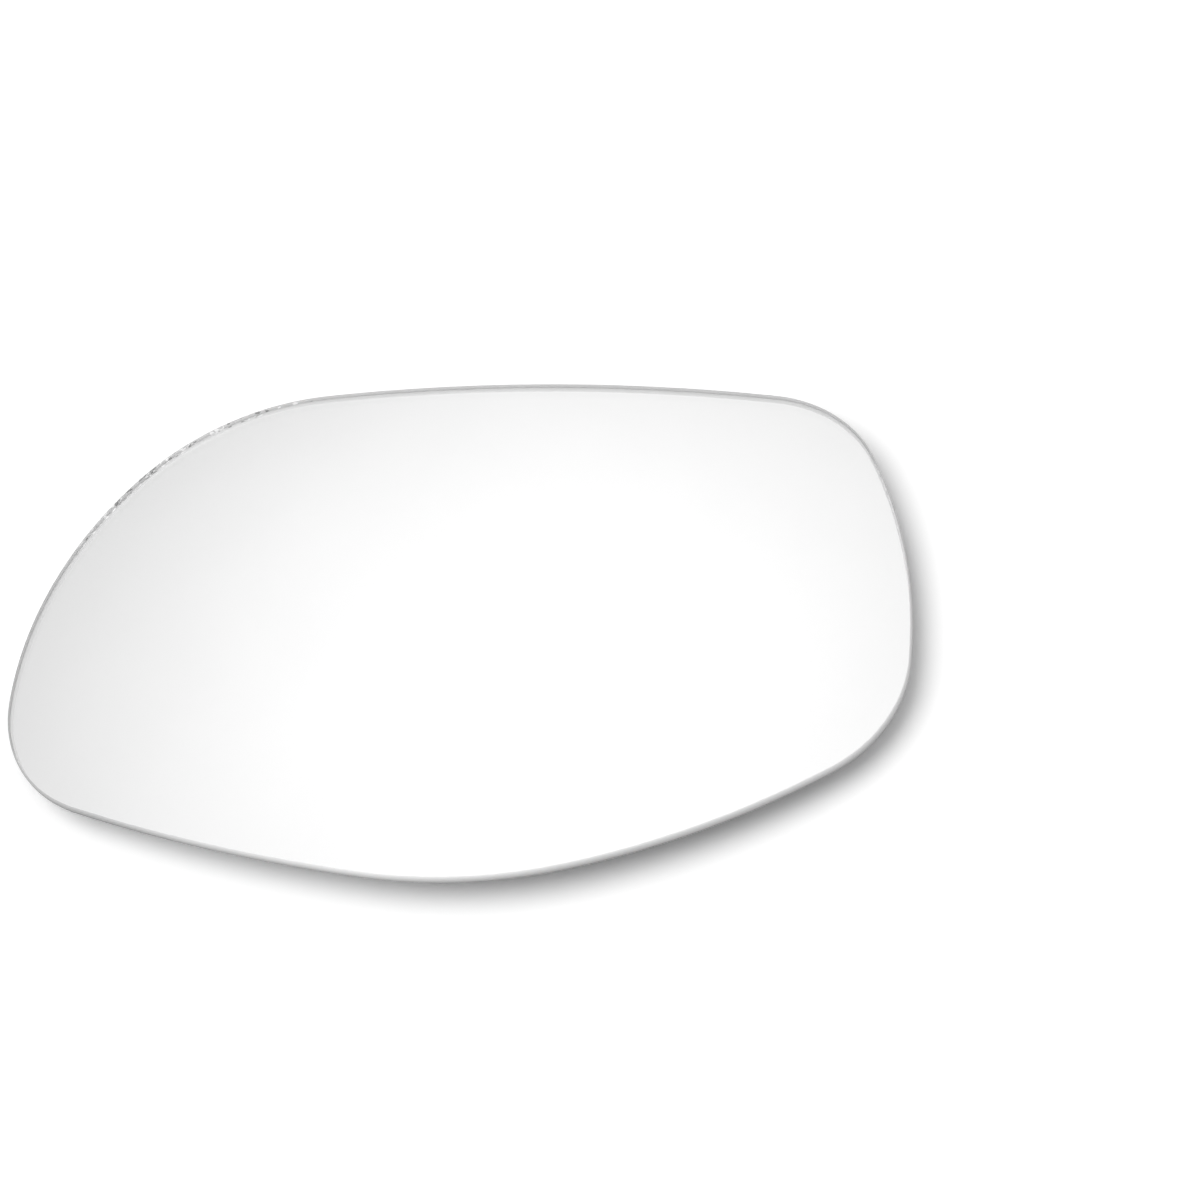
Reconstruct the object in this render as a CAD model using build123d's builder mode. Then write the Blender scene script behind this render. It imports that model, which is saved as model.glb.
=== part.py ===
from build123d import *
import os
from math import atan2, floor, sqrt, tan

# Heated door mirror glass on its clip-on backing plate, lying face up on its clip fingers.
# All sizes are millimetres. The origin is the centre of the clip bore at its rear mouth.
# +Z leaves the mirror face. Seen from the face, +Y points at the upper edge and +X at the broad end.

# Glass
face_radius = 1200.0
glass_thickness = 2.0
edge_chamfer = 0.3

# Glass outline, clockwise from the top left: corner, its rounding, bulge of the side that follows
top_left = (-53.5, 46.6)
top_left_round = 51.3
top_bulge = 4.15
top_right = (68.8, 53.5)
top_right_round = 25.4
right_bulge = 6.9
lower_right = (90.0, -20.4)
lower_right_round = 29.0
lower_right_bulge = 6.2
bottom = (14.0, -60.1)
bottom_round = 95.9
lower_left_bulge = 3.2
lower_left = (-76.7, -46.5)
lower_left_round = 28.8
left_bulge = 17.2

# Heater pad: carrier film, and the conductor etched on its back
film_thickness = 0.25
film_inset = 1.5
trace_thickness = 0.1
trace_width = 1.35
trace_gap = 0.6
trace_margin = 2.5
column_setback = 4.9
finger_step = 0.65
hairpin_split = -1.1

# Backing plate
plate_thickness = 2.0
plate_inset = 4.0
plate_edge_chamfer = 0.4
bore_radius = 34.5
collar_wall = 1.8
collar_height = 2.2
web_thickness = 1.2
seat_ledge = 1.0
bar_width = 10.0
window_width = 11.0
window_height = 24.0
window_corner = 1.5
window_land = 2.2

# Clip fingers around the bore, in pairs about the diagonals
finger_pairs = 4
finger_width = 4.6
finger_reach = 2.8
finger_pair_spread = 26.0
first_pair_angle = 45.0
finger_relief = 0.3
barb_depth = 0.8
barb_height = 1.3

# Blade terminals, soldered to the conductor's pads inside the second window
blade_width = 6.3
blade_thickness = 0.8
blade_spacing = 12.0
foot_length = 3.4
foot_inset = 1.2
ramp_run = 1.6
blade_drop = 3.8
blade_length = 8.0
blade_lead_in = 0.25
solder_gap = 0.01
pad_margin = 0.6

# Levels on the bore axis, from the plate's back to the mirror face
plate_back_level = collar_height
plate_front_level = plate_back_level + plate_thickness
trace_front_level = plate_front_level + trace_thickness
glass_back_level = trace_front_level + film_thickness
face_level = glass_back_level + glass_thickness
dome_centre = face_level - face_radius
prism_height = face_level + finger_reach

# Derived places
pitch = trace_width + trace_gap
collar_radius = bore_radius + collar_wall
window_inner = collar_radius + window_land
window_centre = window_inner + window_width / 2
window_outer = window_inner + window_width


def dome_radius(level):
    """Radius of the dome that crosses the bore axis at a level; every layer shares the dome's centre."""
    return level - dome_centre


def dome_height(level, distance):
    """Height of that dome at a distance from the bore axis."""
    return dome_centre + sqrt(dome_radius(level) ** 2 - distance ** 2)


def shell_between(low_level, high_level):
    """Trim the current part to the dished layer between two levels."""
    # The sphere's poles are turned to the Y axis, clear of the layer
    with Locations((0, 0, dome_centre)):
        Sphere(dome_radius(high_level), rotation=(90, 0, 0), mode=Mode.INTERSECT)
        Sphere(dome_radius(low_level), rotation=(90, 0, 0), mode=Mode.SUBTRACT)


# Plan of the glass: five bulged sides with rounded corners
with BuildSketch() as glass_plan:
    with BuildLine():
        SagittaArc(top_left, top_right, top_bulge)
        SagittaArc(top_right, lower_right, right_bulge)
        SagittaArc(lower_right, bottom, lower_right_bulge)
        SagittaArc(bottom, lower_left, lower_left_bulge)
        SagittaArc(lower_left, top_left, left_bulge)
    make_face()
    for corner, rounding in (
        (top_left, top_left_round),
        (top_right, top_right_round),
        (lower_right, lower_right_round),
        (bottom, bottom_round),
        (lower_left, lower_left_round),
    ):
        fillet(glass_plan.vertices().sort_by_distance(corner)[0], rounding)


def plan_drawn_in(inset):
    """Arcs of the glass plan drawn in by an inset; each is redrawn through its ends and middle."""
    rim = Wire(glass_plan.edges()).offset_2d(-inset)
    return [Edge.make_three_point_arc(arc @ 0, arc @ 0.5, arc @ 1) for arc in rim.edges()]


# Mirror glass: dished plate of even thickness with a ground edge
with BuildPart() as mirror_glass:
    with BuildSketch():
        add(glass_plan.sketch)
    extrude(amount=prism_height)
    shell_between(glass_back_level, face_level)
    rims = mirror_glass.faces().filter_by(GeomType.SPHERE).edges()
    chamfer(rims, edge_chamfer)
mirror_glass.part.label = "mirror_glass"

# Heater film: carrier stuck to the back of the glass
film_rim = plan_drawn_in(plate_inset + film_inset)
with BuildPart() as heater_film:
    with BuildSketch():
        with BuildLine():
            add(film_rim)
        make_face()
    extrude(amount=prism_height)
    shell_between(trace_front_level, glass_back_level)
heater_film.part.label = "heater_film"

# Field that the conductor may fill
field_rim = plan_drawn_in(plate_inset + film_inset + trace_margin)
with BuildSketch() as heated_field:
    with BuildLine():
        add(field_rim)
    make_face()
field_box = heated_field.sketch.bounding_box()


def crossing(start, end):
    """Ends of the stretch of a straight line that lies in the heated field, in order along it."""
    stretch = heated_field.sketch.face().intersect(Line(start, end)).vertices()
    return stretch.sort_by_distance(start)


def field_left(*heights):
    """Left end of the conductor's centre line in the field, clear at every given height."""
    ends = [crossing((field_box.min.X - pitch, y), (field_box.max.X + pitch, y))[0].X for y in heights]
    return max(ends) + trace_width / 2


def field_right(*heights):
    """Right end of the conductor's centre line in the field, clear at every given height."""
    ends = [crossing((field_box.min.X - pitch, y), (field_box.max.X + pitch, y))[-1].X for y in heights]
    return min(ends) - trace_width / 2


def field_low(x):
    """Lowest place of the conductor's centre line in the field at x."""
    return crossing((x, field_box.min.Y - pitch), (x, field_box.max.Y + pitch))[0].Y + trace_width / 2


def conductor_path():
    """Corners of the conductor's centre line, from one terminal to the other, in square turns."""
    column_end = bore_radius - column_setback - trace_width / 2
    hairpin_in = -window_inner
    hairpin_out = hairpin_in - pitch
    finger_end = hairpin_out - pitch
    drop_x = window_outer + pitch
    broad_left = drop_x + pitch

    # Columns behind the bore, from the terminals' window to the hairpins by the first window
    column_count = 2 * floor(window_inner / pitch - 0.5) + 1
    columns = [hairpin_in + pitch * (column_count - k) for k in range(column_count + 1)]
    path = [(window_centre, blade_spacing / 2), (columns[0], blade_spacing / 2)]
    for k in range(column_count):
        turn = column_end if k % 2 == 0 else -column_end
        path += [(columns[k], turn), (columns[k + 1], turn)]

    # Upper hairpin, then fingers down the narrow end, then the lower hairpin
    above_split = hairpin_split + pitch / 2
    below_split = hairpin_split - pitch / 2
    first_finger = column_end + pitch + finger_step
    finger_turns = 2 * floor((first_finger - field_low(hairpin_in)) / pitch / 2 - 0.5) + 1
    fingers = [first_finger - pitch * j for j in range(finger_turns + 1)]
    path += [(hairpin_in, above_split), (hairpin_out, above_split), (hairpin_out, first_finger)]
    for j in range(finger_turns):
        turn = field_left(fingers[j], fingers[j + 1]) if j % 2 == 0 else finger_end
        path += [(turn, fingers[j]), (turn, fingers[j + 1])]
    path += [(hairpin_out, fingers[-1]), (hairpin_out, below_split)]
    path += [(hairpin_in, below_split), (hairpin_in, fingers[-1])]

    # Rows from the lower edge up the broad end
    top_row = first_finger + pitch
    top_count = 2 * floor(((field_box.max.Y - top_row) / pitch) / 2)
    summit = top_row + pitch * (top_count - 1)
    row_turns = 2 * floor((first_finger - fingers[-1]) / pitch / 2)
    rows = [fingers[-1] + pitch * i for i in range(row_turns + 1)]
    climb_x = field_right(rows[-1], summit)
    for i in range(row_turns):
        if i % 2 == 0:
            turn = field_right(rows[i], rows[i + 1])
        elif rows[i + 1] < -column_end - pitch:
            turn = hairpin_in + pitch
        else:
            turn = broad_left
        path += [(turn, rows[i]), (turn, rows[i + 1])]

    # Rows along the upper edge, from the top down, then back to the second terminal
    path += [(climb_x, rows[-1]), (climb_x, summit)]
    uppers = [summit - pitch * i for i in range(top_count)]
    for i in range(top_count - 1):
        turn = field_left(uppers[i], uppers[i + 1]) if i % 2 == 0 else climb_x - pitch
        path += [(turn, uppers[i]), (turn, uppers[i + 1])]
    path += [(drop_x, top_row), (drop_x, -blade_spacing / 2), (window_centre, -blade_spacing / 2)]
    return path


def strip_outline(path, width):
    """Corners of a strip along a path of square turns, cut outside so that a U-turn is half an octagon."""
    points = [Vector(x, y) for x, y in path]
    runs = [(b - a).normalized() for a, b in zip(points, points[1:])]
    sides = [run.rotate(Axis.Z, 90) * (width / 2) for run in runs]
    cut = (pitch + width) / (2 + sqrt(2))
    left_side = [points[0] + sides[0]]
    right_side = [points[0] - sides[0]]
    for i in range(1, len(points) - 1):
        turns_left = runs[i - 1].cross(runs[i]).Z > 0
        outward = (sides[i - 1] + sides[i]) * (-1 if turns_left else 1)
        inner_corner = [points[i] - outward]
        outer_corner = [points[i] + outward - runs[i - 1] * cut, points[i] + outward + runs[i] * cut]
        left_side += inner_corner if turns_left else outer_corner
        right_side += outer_corner if turns_left else inner_corner
    left_side.append(points[-1] + sides[-1])
    right_side.append(points[-1] - sides[-1])
    return left_side + right_side[::-1]


# Heater trace: one conductor from terminal to terminal, with a solder pad at each end
conductor_corners = strip_outline(conductor_path(), trace_width)
with BuildPart() as heater_trace:
    with BuildSketch():
        with BuildLine():
            Polyline(conductor_corners, close=True)
        make_face()
        with Locations((window_centre, blade_spacing / 2), (window_centre, -blade_spacing / 2)):
            Rectangle(window_width - 2 * pad_margin, blade_width + 2 * pad_margin)
    extrude(amount=prism_height)
    shell_between(plate_front_level, trace_front_level)
heater_trace.part.label = "heater_trace"

# Web at the front of the bore, part of the plate's moulding: a seat ledge all round and a bar across
with BuildPart() as bore_web:
    with BuildSketch():
        Circle(bore_radius + collar_wall / 2)
        Circle(bore_radius - seat_ledge, mode=Mode.SUBTRACT)
        Rectangle(2 * bore_radius, bar_width)
    extrude(amount=prism_height)
    shell_between(plate_front_level - web_thickness, plate_front_level)

# One clip finger: a flat tongue that grows out of the collar's wall, with its barb pointing outwards
finger_inner = bore_radius + finger_relief
finger_outer = collar_radius - finger_relief
finger_root = collar_height / 2
with BuildPart() as clip_finger:
    with BuildSketch(Plane.XZ):
        with BuildLine():
            Polyline(
                (finger_inner, finger_root),
                (finger_inner, -finger_reach),
                (finger_outer, -finger_reach),
                (finger_outer + barb_depth, barb_height - finger_reach),
                (finger_outer, barb_height - finger_reach),
                (finger_outer, finger_root),
                close=True,
            )
        make_face()
    extrude(amount=finger_width / 2, both=True)

# Backing plate: dished sheet with a collared bore, two windows and the clip fingers
plate_rim = plan_drawn_in(plate_inset)
collar_top = dome_height(plate_back_level, collar_radius) + plate_thickness / 2
with BuildPart() as backing_plate:
    with BuildSketch():
        with BuildLine():
            add(plate_rim)
        make_face()
    extrude(amount=prism_height)
    shell_between(plate_back_level, plate_front_level)
    back_rim = backing_plate.faces().filter_by(GeomType.SPHERE).sort_by(Axis.Z)[0].edges()
    chamfer(back_rim, plate_edge_chamfer)
    with BuildSketch():
        Circle(collar_radius)
    extrude(amount=collar_top)
    with BuildSketch():
        Circle(bore_radius)
    extrude(amount=prism_height, mode=Mode.SUBTRACT)
    with BuildSketch():
        with Locations((-window_centre, 0), (window_centre, 0)):
            RectangleRounded(window_width, window_height, window_corner)
    extrude(amount=prism_height, mode=Mode.SUBTRACT)
    add(bore_web.part)
    for pair in range(finger_pairs):
        for side in (-1, 1):
            middle = first_pair_angle + pair * 360 / finger_pairs + side * finger_pair_spread / 2
            add(clip_finger.part.rotate(Axis.Z, middle))
backing_plate.part.label = "backing_plate"


def blade_terminal(label, y):
    """Strip bent from a soldered foot to a flat blade behind the plate, at height y in the window."""
    foot_centre = window_inner + foot_inset + foot_length / 2
    seat = Vector(foot_centre, y, dome_height(plate_front_level, sqrt(foot_centre**2 + y**2)))
    outward = (seat - Vector(0, 0, dome_centre)).normalized()
    along = Vector(0, 1, 0).cross(outward).normalized()
    side_plane = Plane(seat - outward * solder_gap, x_dir=along, z_dir=along.cross(outward))
    ramp_start = foot_length / 2
    ramp_end = ramp_start + ramp_run
    tip = ramp_end + blade_length
    mitre = blade_thickness * tan(atan2(blade_drop, ramp_run) / 2)
    with BuildPart() as terminal:
        with BuildSketch(side_plane):
            with BuildLine():
                Polyline(
                    (-foot_length / 2, 0),
                    (ramp_start, 0),
                    (ramp_end, -blade_drop),
                    (tip, -blade_drop),
                    (tip, -blade_drop - blade_thickness),
                    (ramp_end - mitre, -blade_drop - blade_thickness),
                    (ramp_start - mitre, -blade_thickness),
                    (-foot_length / 2, -blade_thickness),
                    close=True,
                )
            make_face()
        extrude(amount=blade_width / 2, both=True)
        chamfer(terminal.faces().sort_by(Axis.X)[-1].edges(), blade_lead_in)
    terminal.part.label = label
    return terminal.part


terminal_upper = blade_terminal("terminal_upper", blade_spacing / 2)
terminal_lower = blade_terminal("terminal_lower", -blade_spacing / 2)

os.makedirs("parts", exist_ok=True)
export_step(mirror_glass.part, "parts/mirror_glass.step")
export_step(heater_film.part, "parts/heater_film.step")
export_step(heater_trace.part, "parts/heater_trace.step")
export_step(backing_plate.part, "parts/backing_plate.step")
export_step(terminal_upper, "parts/terminal_upper.step")
export_step(terminal_lower, "parts/terminal_lower.step")
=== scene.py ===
import math

import bpy
import numpy as np
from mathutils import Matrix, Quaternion, Vector


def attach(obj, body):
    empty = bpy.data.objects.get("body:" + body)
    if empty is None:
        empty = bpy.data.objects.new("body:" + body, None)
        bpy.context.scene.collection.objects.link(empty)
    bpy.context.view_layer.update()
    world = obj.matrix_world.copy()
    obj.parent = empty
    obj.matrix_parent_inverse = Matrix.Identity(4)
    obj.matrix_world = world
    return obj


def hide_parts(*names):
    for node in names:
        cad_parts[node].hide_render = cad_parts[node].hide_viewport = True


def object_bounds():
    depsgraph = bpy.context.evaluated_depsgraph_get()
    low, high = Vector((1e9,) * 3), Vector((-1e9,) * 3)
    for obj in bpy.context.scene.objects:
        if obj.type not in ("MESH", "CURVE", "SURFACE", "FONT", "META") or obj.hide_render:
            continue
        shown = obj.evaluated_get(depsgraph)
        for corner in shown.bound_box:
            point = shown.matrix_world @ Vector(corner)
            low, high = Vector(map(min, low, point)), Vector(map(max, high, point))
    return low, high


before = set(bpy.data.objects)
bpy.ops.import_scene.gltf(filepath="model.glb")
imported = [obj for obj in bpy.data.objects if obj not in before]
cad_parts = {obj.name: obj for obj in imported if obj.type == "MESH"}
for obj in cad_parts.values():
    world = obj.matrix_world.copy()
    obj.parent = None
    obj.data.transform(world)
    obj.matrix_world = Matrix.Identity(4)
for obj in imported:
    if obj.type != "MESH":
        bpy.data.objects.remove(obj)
cad_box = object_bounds()

# Sizes are written in millimetres and turned into metres by MM, and angles are written in degrees
MM = 0.001

# Glass plan, counter-clockwise from the top right: corner, its rounding, bulge of the side that follows
GLASS_CORNERS = (
    ((68.8, 53.5), 25.4, 4.15),
    ((-53.5, 46.6), 51.3, 17.2),
    ((-76.7, -46.5), 28.8, 3.2),
    ((14.0, -60.1), 95.9, 6.2),
    ((90.0, -20.4), 29.0, 6.9),
)

# Dished layers, as levels on the bore axis of domes about one shared centre
FACE_RADIUS = 1200.0
FACE_LEVEL = 6.55
GLASS_THICKNESS = 2.0
GLASS_BACK_LEVEL = FACE_LEVEL - GLASS_THICKNESS
DOME_CENTRE = FACE_LEVEL - FACE_RADIUS
# The drawn glass keeps this far inside its solid, clear of the facets of the film behind it
SKIN = 0.02

# Rounding of the glass's ground edge: how far it runs in from the rim, and how unevenly
EDGE_RUN = 0.42
EDGE_WAVER = 0.05
WAVER_LENGTHS = (23.0, 9.1, 4.3, 2.2)

# Grid of the glass's skin: points round the rim, rows of the face and of the back, rows down the edge
RIM_SAMPLES = 1200
FACE_RINGS = 26
EDGE_RINGS = 13
# Distance between the two outermost rows of the face and of the back
FACE_MARGIN = 0.06
GLASS_SMOOTH_ANGLE = 35.0
# Order of the glass's finishes, and the name under which its points keep their depth
FACE_SLOT, EDGE_SLOT, BACK_SLOT = range(3)
DEPTH_NAME = "depth"

# Paint on the back of the glass, between the ground edge and the heater film
PAINT_OUTER_INSET = 0.55
PAINT_INNER_INSET = 5.5
PAINT_THICKNESS = 0.03
PAINT_CLEARANCE = 0.004
PAINT_SMOOTH_ANGLE = 40.0

GLASS_INDEX = 1.52
# Tone of the ground edge from outside: palest, darkest where painted shade darkens its upper side, and the
# share of it left at the back under painted shade
EDGE_PALE = 0.84
EDGE_UPPER_PAINTED_SHADE = 0.44
EDGE_BACK_PAINTED_SHADE = 0.28
# Tone of the ground edge from inside the glass, and the share of it left at the back under painted shade
EDGE_LIT = 0.76
EDGE_LIT_BACK_PAINTED_SHADE = 0.72
# Share of both tones left at the narrow end under painted shade
EDGE_END_PAINTED_SHADE = 0.78
# Sides where the ground edge changes, by painted shade on its upper side and at its narrow end and by
# chips: direction, and how far out the change begins and is full
UPPER_PAINTED_SHADE_SIDE = ((-0.5, 0.85, 0.0), -30.0, 30.0)
END_PAINTED_SHADE_SIDE = ((-0.85, -0.5, 0.0), 35.0, 75.0)
CHIPPED_SIDE = ((-0.7, 0.71, 0.0), 60.0, 65.0)
# Share of the way from face to back at which the chips and painted glints of the ground edge begin and are
# full
CHIPPED_DEPTH = (0.25, 0.45)
# Chips and painted glints: size, share of the wall that each kind takes, softness of their borders,
# brightness of each kind (dark chips, bright painted glints)
CHIP_SIZE = 0.8
CHIP_SHARE = 0.1
CHIP_BLUR = 0.01
DARK_CHIP = 0.45
PAINTED_GLINT = 1.5

# Span that holds most values of a noise
NOISE_SPAN = (0.3, 0.7)

# Camera of the picture
IMAGE_PIXELS = 1200
FOCAL_PIXELS = 2635.0
SENSOR_WIDTH = 36.0
CAMERA_PLACE = (160.86, -267.40, 399.91)
CAMERA_AIM = (30.44, 2.48, 5.0)
CAMERA_ROLL = -17.865
CAMERA_NEAR = 10.0

# Floor: size, its white where it lights the object, its white where it is seen
FLOOR_SIZE = 8000.0
FLOOR_WHITE = 0.9
FLOOR_SEEN_WHITE = 1.15

# Lamps and even light, as the level that each gives a white surface that lies flat
AMBIENT_LEVEL = 0.6
KEY_LEVEL = 0.42
KEY_DIRECTION = (-0.6, -0.15, 1.0)
KEY_ANGLE = 60.0
UNDERLAMP_LEVEL = 0.9
UNDERLAMP_DIRECTION = (-0.4, 0.3, -1.0)
UNDERLAMP_ANGLE = 90.0

# Tent that the glass reflects: level overhead, level at the horizon, how high the horizon's glow reaches
TENT_LEVEL = 0.5
HORIZON_LEVEL = 1.0
HORIZON_GLOW = 36.0
# Soft lamps in the tent: azimuth, elevation, angle of the even core, angle of the whole, level
SOFT_LAMPS = (
    (95.0, 45.0, 5.0, 40.0, 0.95),
    (215.0, 45.0, 5.0, 40.0, 0.95),
    (-27.0, 58.0, 5.1, 35.2, 1.07),
)
WHITE = (1, 1, 1, 1)


def side_circle(start, end, bulge):
    """Centre and radius of a side: the circle through both ends whose middle stands out by the bulge."""
    chord = end - start
    length = np.hypot(*chord)
    outward = np.array([chord[1], -chord[0]]) / length
    radius = (length**2 / 4 + bulge**2) / (2 * bulge)
    return (start + end) / 2 - outward * (radius - bulge), radius


def corner_centre(first, second, rounding, corner):
    """Centre of a corner's rounding: where both sides, drawn in by it, cross next to the corner."""
    (centre_a, radius_a), (centre_b, radius_b) = first, second
    apart = centre_b - centre_a
    distance = np.hypot(*apart)
    reach_a = radius_a - rounding
    reach_b = radius_b - rounding
    along = (distance**2 + reach_a**2 - reach_b**2) / (2 * distance)
    aside = math.sqrt(reach_a**2 - along**2)
    unit = apart / distance
    normal = np.array([-unit[1], unit[0]])
    foot = centre_a + unit * along
    crossings = (foot + normal * aside, foot - normal * aside)
    return min(crossings, key=lambda crossing: np.hypot(*(crossing - corner)))


def heading(vector):
    """Angle of a plan vector, counter-clockwise from +X."""
    return math.atan2(vector[1], vector[0])


def glass_arcs():
    """Arcs of the glass plan, corner and side by turns: rows of centre, radius, first angle, sweep."""
    places, roundings, bulges = zip(*GLASS_CORNERS)
    corners = np.array(places)
    count = len(corners)
    sides = [side_circle(*side) for side in zip(corners, np.roll(corners, -1, axis=0), bulges)]
    centres = [corner_centre(sides[i - 1], sides[i], roundings[i], corners[i]) for i in range(count)]
    # A corner's arc runs from where it touches the side before it to where it touches the side after it
    starts = [heading(centres[i] - sides[i - 1][0]) for i in range(count)]
    ends = [heading(centres[i] - sides[i][0]) for i in range(count)]
    rows = []
    for i in range(count):
        after = (i + 1) % count
        rows.append((*centres[i], roundings[i], starts[i], (ends[i] - starts[i]) % math.tau))
        rows.append((*sides[i][0], sides[i][1], ends[i], (starts[after] - ends[i]) % math.tau))
    return np.array(rows)


ARCS = glass_arcs()
ARC_LENGTHS = ARCS[:, 2] * ARCS[:, 4]
RIM_LENGTH = ARC_LENGTHS.sum()

# Angles down the half ellipse of the ground edge between face and back, and the depth that each lies at
EDGE_TURNS = np.linspace(0, math.pi, EDGE_RINGS)[1:-1]
EDGE_DEPTHS = (1 - np.cos(EDGE_TURNS)) / 2


def rim_plan(inset):
    """Plan of the rim drawn in by an inset: an arc's centre plus its shortened radius at each angle.

    The samples lie evenly along the uninset rim, so rows with different insets pair up point by point.
    """
    reach = np.arange(RIM_SAMPLES) / RIM_SAMPLES * RIM_LENGTH
    arc_ends = np.cumsum(ARC_LENGTHS)
    arc = np.searchsorted(arc_ends, reach, side="right")
    share = (reach - (arc_ends[arc] - ARC_LENGTHS[arc])) / ARC_LENGTHS[arc]
    angle = ARCS[arc, 3] + share * ARCS[arc, 4]
    radius = ARCS[arc, 2] - inset
    across = ARCS[arc, 0] + radius * np.cos(angle)
    up = ARCS[arc, 1] + radius * np.sin(angle)
    return np.stack([across, up], axis=-1)


def dome(level, plan):
    """Height of the dome that meets the bore axis at a level: shared centre plus a circle's height."""
    return DOME_CENTRE + np.sqrt((level - DOME_CENTRE) ** 2 - (plan**2).sum(axis=-1))


def row_at(level, inset, drop=0.0):
    """One row of points round the rim, at an inset, on a level's dome and dropped below it."""
    plan = rim_plan(inset)
    return np.column_stack([plan, dome(level, plan) - drop])


def disc_rows(level, inset):
    """Rows from the bore axis to the rim: even shares of a rim just inside it, then the rim itself."""
    shares = np.linspace(0, 1, FACE_RINGS)[1:, None, None]
    inner = shares * rim_plan(inset + FACE_MARGIN)[None]
    plan = np.concatenate([inner, rim_plan(inset)[None]])
    return np.concatenate([plan, dome(level, plan)[..., None]], axis=2)


def edge_run():
    """Uneven run of a hand-held grind: an even run plus sines of unlike wavelengths along the rim."""
    reach = np.arange(RIM_SAMPLES) / RIM_SAMPLES * math.tau
    turns = [round(RIM_LENGTH / length) for length in WAVER_LENGTHS]
    waves = [np.sin(turn * reach + order) for order, turn in enumerate(turns)]
    return EDGE_RUN + EDGE_WAVER * np.sum(waves, axis=0) / len(waves)


def edge_rows(top_level, bottom_level, run):
    """Rows of the ground edge: half an ellipse, as deep as the glass and as far in as the run."""
    inset = SKIN + run * (1 - np.sin(EDGE_TURNS[:, None]))
    share = EDGE_DEPTHS[:, None]
    plan = rim_plan(inset)
    height = dome(top_level, plan) * (1 - share) + dome(bottom_level, plan) * share
    return np.concatenate([plan, height[..., None]], axis=2)


def quads_between(rows, closed):
    """Quads of a grid of rows that close round the rim, and from the last row to the first if closed."""
    last = rows if closed else rows - 1
    row, column = np.meshgrid(np.arange(last), np.arange(RIM_SAMPLES), indexing="ij")
    below = (row + 1) % rows
    beside = (column + 1) % RIM_SAMPLES
    corners = (
        row * RIM_SAMPLES + column,
        below * RIM_SAMPLES + column,
        below * RIM_SAMPLES + beside,
        row * RIM_SAMPLES + beside,
    )
    return np.stack([corner.ravel() for corner in corners], axis=1)


def pole_fans(rows):
    """Triangles from the first row to one pole and from the last row to the other.

    The two poles are the points that follow the last row.
    """
    around = np.arange(RIM_SAMPLES)
    beside = (around + 1) % RIM_SAMPLES
    last_row = (rows - 1) * RIM_SAMPLES
    first_pole = np.full(RIM_SAMPLES, rows * RIM_SAMPLES)
    first_fan = np.stack([first_pole, around, beside], axis=1)
    last_fan = np.stack([first_pole + 1, last_row + beside, last_row + around], axis=1)
    return first_fan, last_fan


def mesh_object(name, points, faces, slots, smooth_angle):
    """Mesh from points in millimetres, with a material slot for each face, smooth up to an angle."""
    mesh = bpy.data.meshes.new(name)
    mesh.from_pydata((points * MM).tolist(), [], faces)
    mesh.polygons.foreach_set("material_index", np.asarray(slots, dtype=np.int32))
    mesh.polygons.foreach_set("use_smooth", np.ones(len(faces), dtype=bool))
    mesh.set_sharp_from_angle(angle=math.radians(smooth_angle))
    mesh.update()
    piece = bpy.data.objects.new(name, mesh)
    bpy.context.scene.collection.objects.link(piece)
    return piece


def glass_piece():
    """Mirror glass as one closed skin, row by row from pole to pole: face, ground edge, silvered back.

    Each point keeps its depth, which is 0 on the face and 1 on the back.
    """
    run = edge_run()
    face_level = FACE_LEVEL - SKIN
    back_level = GLASS_BACK_LEVEL + SKIN
    face = disc_rows(face_level, SKIN + run)
    edge = edge_rows(face_level, back_level, run)
    back = disc_rows(back_level, SKIN + run)[::-1]
    rows = np.concatenate([face, edge, back])
    poles = [[0, 0, face_level], [0, 0, back_level]]
    points = np.concatenate([rows.reshape(-1, 3), poles])

    quads = quads_between(len(rows), closed=False)
    face_fan, back_fan = pole_fans(len(rows))
    band = quads[:, 0] // RIM_SAMPLES
    on_face = band < FACE_RINGS - 1
    on_back = band >= len(rows) - FACE_RINGS
    quad_slots = np.where(on_face, FACE_SLOT, np.where(on_back, BACK_SLOT, EDGE_SLOT))
    fan_slots = np.repeat([FACE_SLOT, BACK_SLOT], RIM_SAMPLES)
    faces = quads.tolist() + face_fan.tolist() + back_fan.tolist()
    slots = np.concatenate([quad_slots, fan_slots])
    glass = mesh_object("glass", points, faces, slots, GLASS_SMOOTH_ANGLE)

    row_depths = np.concatenate([np.zeros(FACE_RINGS), EDGE_DEPTHS, np.ones(FACE_RINGS)])
    depths = np.concatenate([np.repeat(row_depths, RIM_SAMPLES), [0, 1]])
    kept = glass.data.attributes.new(DEPTH_NAME, "FLOAT", "POINT")
    kept.data.foreach_set("value", depths.astype(np.float32))
    return glass


def paint_piece():
    """Paint band on the back of the glass: four rows round the rim, closed into a thin ring."""
    front = PAINT_CLEARANCE
    rear = PAINT_CLEARANCE + PAINT_THICKNESS
    rows = [
        row_at(GLASS_BACK_LEVEL, PAINT_INNER_INSET, front),
        row_at(GLASS_BACK_LEVEL, PAINT_OUTER_INSET, front),
        row_at(GLASS_BACK_LEVEL, PAINT_OUTER_INSET, rear),
        row_at(GLASS_BACK_LEVEL, PAINT_INNER_INSET, rear),
    ]
    quads = quads_between(len(rows), closed=True)
    slots = np.zeros(len(quads))
    return mesh_object("back_paint", np.concatenate(rows), quads.tolist(), slots, PAINT_SMOOTH_ANGLE)


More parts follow.
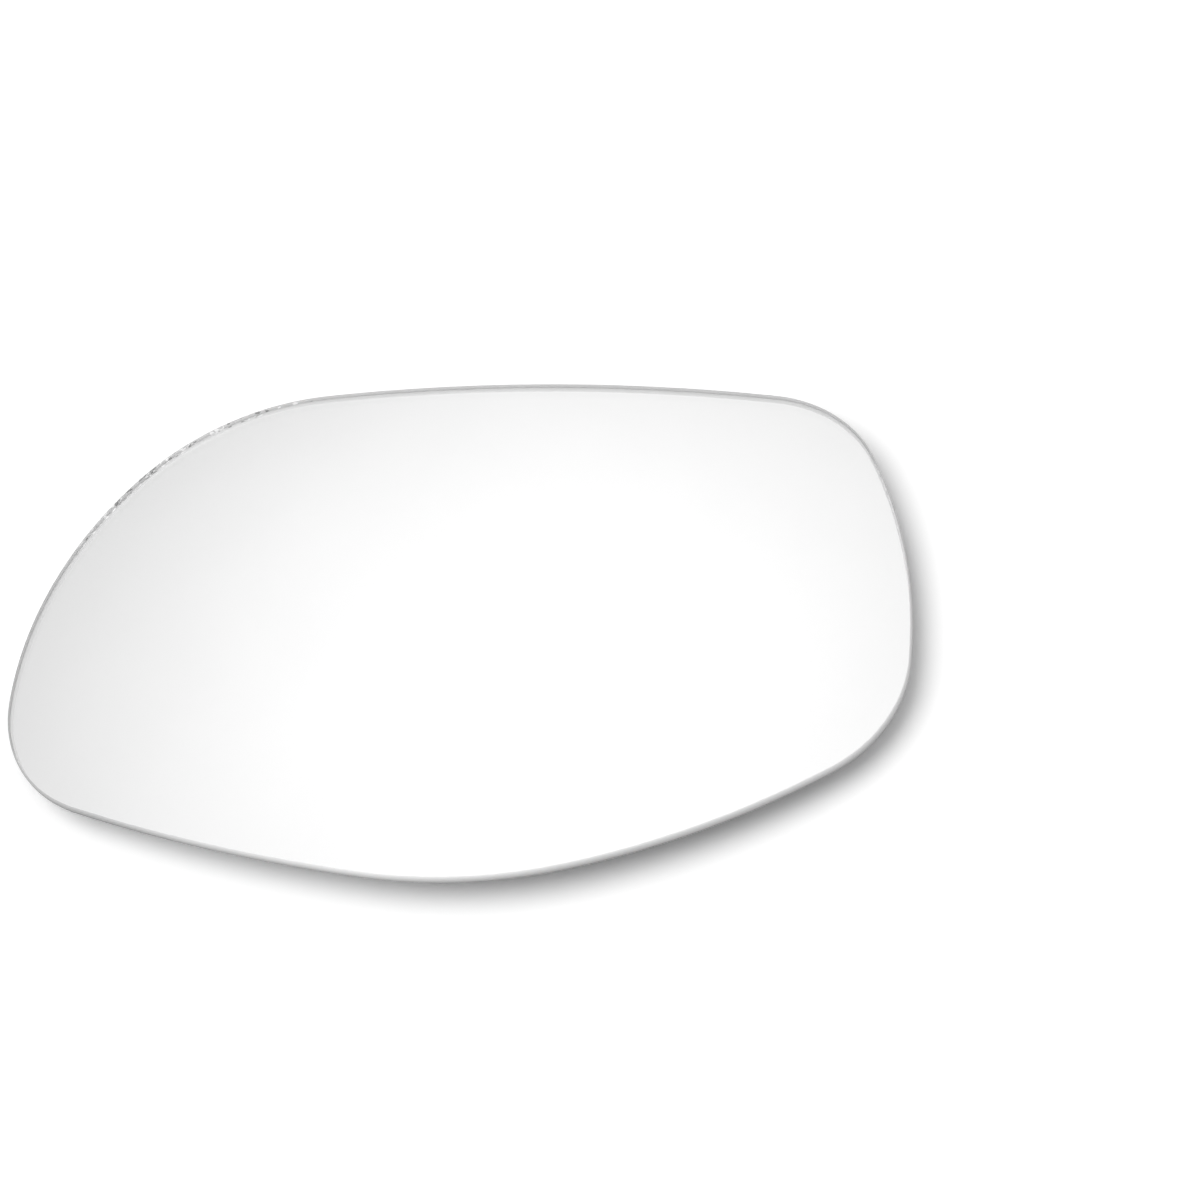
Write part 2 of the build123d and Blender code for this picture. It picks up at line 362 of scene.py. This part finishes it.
class Nodes:
    """Node tree of a material or a world, with a short call for each kind of node that both may need."""

    def __init__(self, owner, output="ShaderNodeOutputMaterial"):
        owner.use_nodes = True
        self.tree = owner.node_tree
        self.tree.nodes.clear()
        self.output = self.add(output)

    def add(self, kind, **values):
        """A new node, with values for the inputs that are named, where _ stands for a space."""
        node = self.tree.nodes.new(kind)
        for socket, value in values.items():
            node.inputs[socket.replace("_", " ")].default_value = value
        return node

    def link(self, source, target):
        """Feed an input."""
        self.tree.links.new(source, target)

    def show(self, shader):
        """Make a shader the one that shows."""
        self.link(shader, self.output.inputs["Surface"])

    def mix(self, factor, first, second):
        """The first shader where the factor is 0, the second where it is 1."""
        blend = self.add("ShaderNodeMixShader")
        for source, socket in zip((factor, first, second), blend.inputs):
            self.link(source, socket)
        return blend.outputs["Shader"]

    def sides(self, outer, inner):
        """One shader on the outer side of each face, another on its inner side."""
        behind = self.add("ShaderNodeNewGeometry").outputs["Backfacing"]
        return self.mix(behind, outer, inner)

    def math(self, operation, *values):
        """An operation on one or two values."""
        result = self.add("ShaderNodeMath")
        result.operation = operation
        for value, socket in zip(values, result.inputs):
            self.link(value, socket)
        return result.outputs["Value"]

    def reach(self, place, direction):
        """How far a place lies out in a direction."""
        along = self.add("ShaderNodeVectorMath")
        along.operation = "DOT_PRODUCT"
        along.inputs[1].default_value = Vector(direction).normalized()
        self.link(place, along.inputs[0])
        return along.outputs["Value"]

    def span(self, factor, low, high, start=0.0, end=1.0, ease="LINEAR"):
        """A factor carried from its own span, start to end, to the span from low to high."""
        carry = self.add("ShaderNodeMapRange", From_Min=start, From_Max=end, To_Min=low, To_Max=high)
        carry.interpolation_type = ease
        self.link(factor, carry.inputs["Value"])
        return carry.outputs["Result"]

    def sight_rays(self):
        """1 for what the camera sees, straight on, by reflection or through glass, and 0 for lighting."""
        path = self.add("ShaderNodeLightPath").outputs
        seen = path["Is Camera Ray"]
        for kind in ("Is Glossy Ray", "Is Transmission Ray"):
            seen = self.math("MAXIMUM", seen, path[kind])
        return seen


class Finish(Nodes):
    """A material with one main shader, and short calls for the patterns that feed it."""

    def __init__(self, name, **values):
        self.material = bpy.data.materials.new(name)
        super().__init__(self.material)
        self.shader = self.add("ShaderNodeBsdfPrincipled", **values)
        self.show(self.shader.outputs["BSDF"])
        self.place = self.add("ShaderNodeTexCoord").outputs["Object"]

    def feed(self, socket, source):
        """Feed an input of the main shader."""
        self.link(source, self.shader.inputs[socket])

    def noise(self, grain, detail=4.0, stretch=(1, 1, 1)):
        """Noise on the piece's own coordinates, with features about one grain across."""
        mapping = self.add("ShaderNodeMapping", Scale=stretch)
        self.link(self.place, mapping.inputs["Vector"])
        texture = self.add("ShaderNodeTexNoise", Scale=1 / (grain * MM), Detail=detail)
        self.link(mapping.outputs["Vector"], texture.inputs["Vector"])
        return texture.outputs["Fac"]

    def tint(self, dark, light, grain, **pattern):
        """Base colour that drifts between a dark and a light tone."""
        ramp = self.add("ShaderNodeValToRGB")
        for stop, position, colour in zip(ramp.color_ramp.elements, NOISE_SPAN, (dark, light)):
            stop.position = position
            stop.color = (*colour, 1)
        self.link(self.noise(grain, **pattern), ramp.inputs["Fac"])
        self.feed("Base Color", ramp.outputs["Color"])

    def roughen(self, low, high, grain, **pattern):
        """Roughness that drifts between a low and a high value."""
        self.feed("Roughness", self.span(self.noise(grain, **pattern), low, high, *NOISE_SPAN))

    def emboss(self, depth, grain, **pattern):
        """Bump of a depth between the lowest and the highest noise."""
        bump = self.add("ShaderNodeBump", Distance=depth * MM)
        self.link(self.noise(grain, **pattern), bump.inputs["Height"])
        self.feed("Normal", bump.outputs["Normal"])

    def cells(self, grain):
        """A random number for each cell of a Voronoi pattern, with cells about one grain across."""
        texture = self.add("ShaderNodeTexVoronoi", Scale=1 / (grain * MM))
        self.link(self.place, texture.inputs["Vector"])
        split = self.add("ShaderNodeSeparateColor")
        self.link(texture.outputs["Color"], split.inputs["Color"])
        return split.outputs["Red"]

    def depth(self):
        """Share of the way from the glass's face to its back, as its points keep it."""
        kept = self.add("ShaderNodeAttribute")
        kept.attribute_name = DEPTH_NAME
        return kept.outputs["Fac"]

    def towards(self, side, low, high):
        """A value that goes from low to high as the piece reaches out to a side."""
        direction, start, full = side
        return self.span(self.reach(self.place, direction), low, high, start * MM, full * MM)

    def product(self, first, *others):
        """Factors multiplied together."""
        result = first
        for factor in others:
            result = self.math("MULTIPLY", result, factor)
        return result


def clear_face():
    """Polished float glass, with the faintest wiping haze."""
    finish = Finish("clear_face", Base_Color=WHITE, Transmission_Weight=1.0, IOR=GLASS_INDEX)
    finish.roughen(low=0.0, high=0.012, grain=18, stretch=(1, 3, 1))
    return finish.material


def edge_chips_and_painted_glints(finish, depth):
    """Brightness that chips and painted glints give the ground edge: 1 on the plain wall, lower on a
    dark chip and higher on a painted glint.

    Dark chips are the cells with the highest random numbers and painted glints those with the lowest,
    on the chipped side and at the chipped depth.
    """
    side = finish.towards(CHIPPED_SIDE, 0.0, 1.0)
    chipped = finish.product(side, finish.span(depth, 0.0, 1.0, *CHIPPED_DEPTH))
    cells = finish.cells(CHIP_SIZE)
    highest = finish.span(cells, 0.0, 1.0, 1 - CHIP_SHARE - CHIP_BLUR, 1 - CHIP_SHARE + CHIP_BLUR)
    lowest = finish.span(cells, 1.0, 0.0, CHIP_SHARE - CHIP_BLUR, CHIP_SHARE + CHIP_BLUR)
    dark = finish.span(finish.product(highest, chipped), 1.0, DARK_CHIP)
    # Bright cells are painted glints, brighter than the wall's own tone
    bright = finish.span(finish.product(lowest, chipped), 1.0, PAINTED_GLINT)
    return finish.product(dark, bright)


def ground_edge():
    """Belt-ground glass: pale and matt, with painted shade that darkens it towards its back, its upper side
    and its narrow end.

    From inside the glass the same wall shows the light that falls on it from outside, with painted shade
    towards its back and its narrow end, small dark chips where the belt ended, and bright painted glints.
    """
    finish = Finish("ground_edge", Roughness=0.6, IOR=GLASS_INDEX, Specular_IOR_Level=0.1)
    depth = finish.depth()
    # Painted shade: the base colour darkens towards the upper side
    upper = finish.towards(UPPER_PAINTED_SHADE_SIDE, EDGE_PALE, EDGE_UPPER_PAINTED_SHADE)
    # Painted shade: both tones darken towards the narrow end
    end = finish.towards(END_PAINTED_SHADE_SIDE, 1.0, EDGE_END_PAINTED_SHADE)
    # Painted shade: the base colour darkens towards the back of the wall
    back = finish.span(depth, 1.0, EDGE_BACK_PAINTED_SHADE)
    finish.feed("Base Color", finish.product(upper, end, back))
    # Painted shade: the tone from inside the glass darkens towards the back of the wall
    lit_tone_painted_shade = finish.span(depth, EDGE_LIT, EDGE_LIT * EDGE_LIT_BACK_PAINTED_SHADE)
    lit = finish.add("ShaderNodeBsdfTranslucent")
    finish.link(finish.product(edge_chips_and_painted_glints(finish, depth), end, lit_tone_painted_shade), lit.inputs["Color"])
    finish.show(finish.sides(finish.shader.outputs["BSDF"], lit.outputs["BSDF"]))
    return finish.material


def silver():
    """Silvering on the back of the glass, seen through it."""
    finish = Finish("silver", Metallic=1.0)
    finish.tint(dark=(0.96, 0.96, 0.96), light=(0.98, 0.98, 0.98), grain=35)
    finish.roughen(low=0.012, high=0.03, grain=12)
    return finish.material


def back_paint():
    """Grey protective paint over the silvering, with a slight orange peel."""
    finish = Finish("back_paint")
    finish.tint(dark=(0.33, 0.335, 0.34), light=(0.40, 0.405, 0.41), grain=2.5)
    finish.roughen(low=0.42, high=0.58, grain=1.2)
    finish.emboss(depth=0.02, grain=0.9, detail=2.0)
    return finish.material


def carrier_film():
    """Dark grey polyester film with a fine matt grain."""
    finish = Finish("carrier_film", Specular_IOR_Level=0.3)
    finish.tint(dark=(0.042, 0.042, 0.045), light=(0.062, 0.062, 0.066), grain=1.4)
    finish.roughen(low=0.38, high=0.55, grain=0.5)
    finish.emboss(depth=0.01, grain=0.3, detail=2.0)
    return finish.material


def etched_foil():
    """Etched aluminium foil: satin, with faint rolling marks along X."""
    finish = Finish("etched_foil", Metallic=1.0)
    finish.tint(dark=(0.80, 0.81, 0.82), light=(0.92, 0.925, 0.93), grain=1.5, stretch=(0.12, 1, 1))
    finish.roughen(low=0.3, high=0.46, grain=0.6, stretch=(0.15, 1, 1))
    finish.emboss(depth=0.006, grain=0.4, stretch=(0.1, 1, 1))
    return finish.material


def moulded_plastic():
    """Black moulded plastic with a spark-eroded grain and slightly uneven sheen."""
    finish = Finish("moulded_plastic", Specular_IOR_Level=0.22)
    finish.tint(dark=(0.008, 0.008, 0.0085), light=(0.012, 0.012, 0.0125), grain=7)
    finish.roughen(low=0.54, high=0.62, grain=2.2)
    finish.emboss(depth=0.035, grain=0.45, detail=3.0)
    return finish.material


def tinned_brass():
    """Tinned brass, dull grey with a warm tinge and fine stamping marks."""
    finish = Finish("tinned_brass", Metallic=1.0)
    finish.tint(dark=(0.66, 0.62, 0.53), light=(0.78, 0.75, 0.68), grain=1.1)
    finish.roughen(low=0.24, high=0.42, grain=0.5, stretch=(0.2, 1, 1))
    finish.emboss(depth=0.006, grain=0.35, stretch=(0.15, 1, 1))
    return finish.material


def dress_nodes():
    """Finish every node that keeps its own solid, and list those nodes."""
    terminal = tinned_brass()
    finishes = {
        "heater_film": carrier_film(),
        "heater_trace": etched_foil(),
        "backing_plate": moulded_plastic(),
        "terminal_upper": terminal,
        "terminal_lower": terminal,
    }
    for name, finish in finishes.items():
        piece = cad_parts[name]
        piece.data.materials.clear()
        piece.data.materials.append(finish)
    return [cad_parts[name] for name in finishes]


def dress_glass():
    """Glass and its paint, in place of the glass solid."""
    glass = glass_piece()
    for finish in (clear_face(), ground_edge(), silver()):
        glass.data.materials.append(finish)
    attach(glass, "root")
    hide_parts("mirror_glass")
    paint = paint_piece()
    paint.data.materials.append(back_paint())
    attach(paint, "root")


def floor_material():
    """White diffuse floor that keeps the shadow, of a brighter white where it is seen than where it lights.

    From underneath it is clear, so that the back of the object can be seen.
    """
    material = bpy.data.materials.new("floor")
    tree = Nodes(material)
    lighting, seen = (
        tree.add("ShaderNodeBsdfDiffuse", Color=(white, white, white, 1)).outputs["BSDF"]
        for white in (FLOOR_WHITE, FLOOR_SEEN_WHITE)
    )
    clear = tree.add("ShaderNodeBsdfTransparent").outputs["BSDF"]
    tree.show(tree.sides(tree.mix(tree.sight_rays(), lighting, seen), clear))
    return material


def lay_floor():
    """Square floor at the height of the clip fingers' tips."""
    half = FLOOR_SIZE * MM / 2
    height = cad_box[0].z
    mesh = bpy.data.meshes.new("floor")
    corners = [(-half, -half, height), (half, -half, height), (half, half, height), (-half, half, height)]
    mesh.from_pydata(corners, [], [(0, 1, 2, 3)])
    mesh.materials.append(floor_material())
    floor = bpy.data.objects.new("floor", mesh)
    bpy.context.scene.collection.objects.link(floor)


def direction_to(azimuth, elevation):
    """Unit vector at an azimuth from +Y towards +X and an elevation above the floor."""
    turn = math.radians(azimuth)
    rise = math.radians(elevation)
    return Vector((math.sin(turn) * math.cos(rise), math.cos(turn) * math.cos(rise), math.sin(rise)))


def tent_level(tree):
    """Level of the tent in each direction: the horizon's glow eases into the level overhead.

    Each soft lamp is even over its core, and eases from there into the level of what is behind it.
    """
    sky = tree.add("ShaderNodeTexCoord").outputs["Generated"]
    height = tree.reach(sky, (0, 0, 1))
    glow_top = math.sin(math.radians(HORIZON_GLOW))
    level = tree.span(height, HORIZON_LEVEL, TENT_LEVEL, 0.0, glow_top, "SMOOTHSTEP")
    for azimuth, elevation, core, whole, lamp_level in SOFT_LAMPS:
        angle = tree.math("ARCCOSINE", tree.reach(sky, direction_to(azimuth, elevation)))
        lamp = tree.span(angle, lamp_level, 0.0, math.radians(core), math.radians(whole), "SMOOTHSTEP")
        tree.link(level, lamp.node.inputs["To Max"])
        level = lamp
    return level


def hang_world():
    """Light tent: even light on the object, white to the camera, soft lamps where the glass shows it."""
    world = bpy.data.worlds.new("light_tent")
    bpy.context.scene.world = world
    tree = Nodes(world, "ShaderNodeOutputWorld")
    light = tree.add("ShaderNodeBackground", Color=WHITE, Strength=AMBIENT_LEVEL)
    white = tree.add("ShaderNodeBackground", Color=WHITE)
    mirrored = tree.add("ShaderNodeBackground", Color=WHITE)
    tree.link(tent_level(tree), mirrored.inputs["Strength"])
    direct = tree.add("ShaderNodeLightPath").outputs["Is Camera Ray"]
    seen = tree.mix(direct, mirrored.outputs["Background"], white.outputs["Background"])
    tree.show(tree.mix(tree.sight_rays(), light.outputs["Background"], seen))


def hang_lamp(name, direction, level, angle):
    """Far lamp of a wide angle, which lights a white surface that lies flat to the given level."""
    towards = Vector(direction).normalized()
    light = bpy.data.lights.new(name, "SUN")
    light.angle = math.radians(angle)
    light.energy = level * math.pi / abs(towards.z)
    lamp = bpy.data.objects.new(name, light)
    lamp.location = towards
    lamp.rotation_mode = "QUATERNION"
    lamp.rotation_quaternion = towards.to_track_quat("Z", "Y")
    bpy.context.scene.collection.objects.link(lamp)
    return lamp


def hang_lamps(back_pieces):
    """Key lamp above, unseen in the glass, and one under the floor that lights the back's pieces alone."""
    key = hang_lamp("key", KEY_DIRECTION, KEY_LEVEL, KEY_ANGLE)
    key.visible_glossy = False
    key.visible_transmission = False
    underlamp = hang_lamp("underlamp", UNDERLAMP_DIRECTION, UNDERLAMP_LEVEL, UNDERLAMP_ANGLE)
    back = bpy.data.collections.new("back")
    for piece in back_pieces:
        back.objects.link(piece)
    underlamp.light_linking.receiver_collection = back
    underlamp.light_linking.blocker_collection = back


def place_camera():
    """Camera with the picture's focal length, place, aim and roll."""
    lens = bpy.data.cameras.new("camera")
    lens.sensor_width = SENSOR_WIDTH
    lens.lens = SENSOR_WIDTH * FOCAL_PIXELS / IMAGE_PIXELS
    lens.clip_start = CAMERA_NEAR * MM
    camera = bpy.data.objects.new("camera", lens)
    place = Vector(CAMERA_PLACE) * MM
    aim = Vector(CAMERA_AIM) * MM
    camera.location = place
    camera.rotation_mode = "QUATERNION"
    level = (aim - place).to_track_quat("-Z", "Y")
    camera.rotation_quaternion = level @ Quaternion((0, 0, 1), math.radians(CAMERA_ROLL))
    bpy.context.scene.collection.objects.link(camera)
    bpy.context.scene.camera = camera


dress_glass()
back_pieces = dress_nodes()
lay_floor()
hang_world()
hang_lamps(back_pieces)
place_camera()
bpy.context.scene.view_settings.view_transform = "Standard"
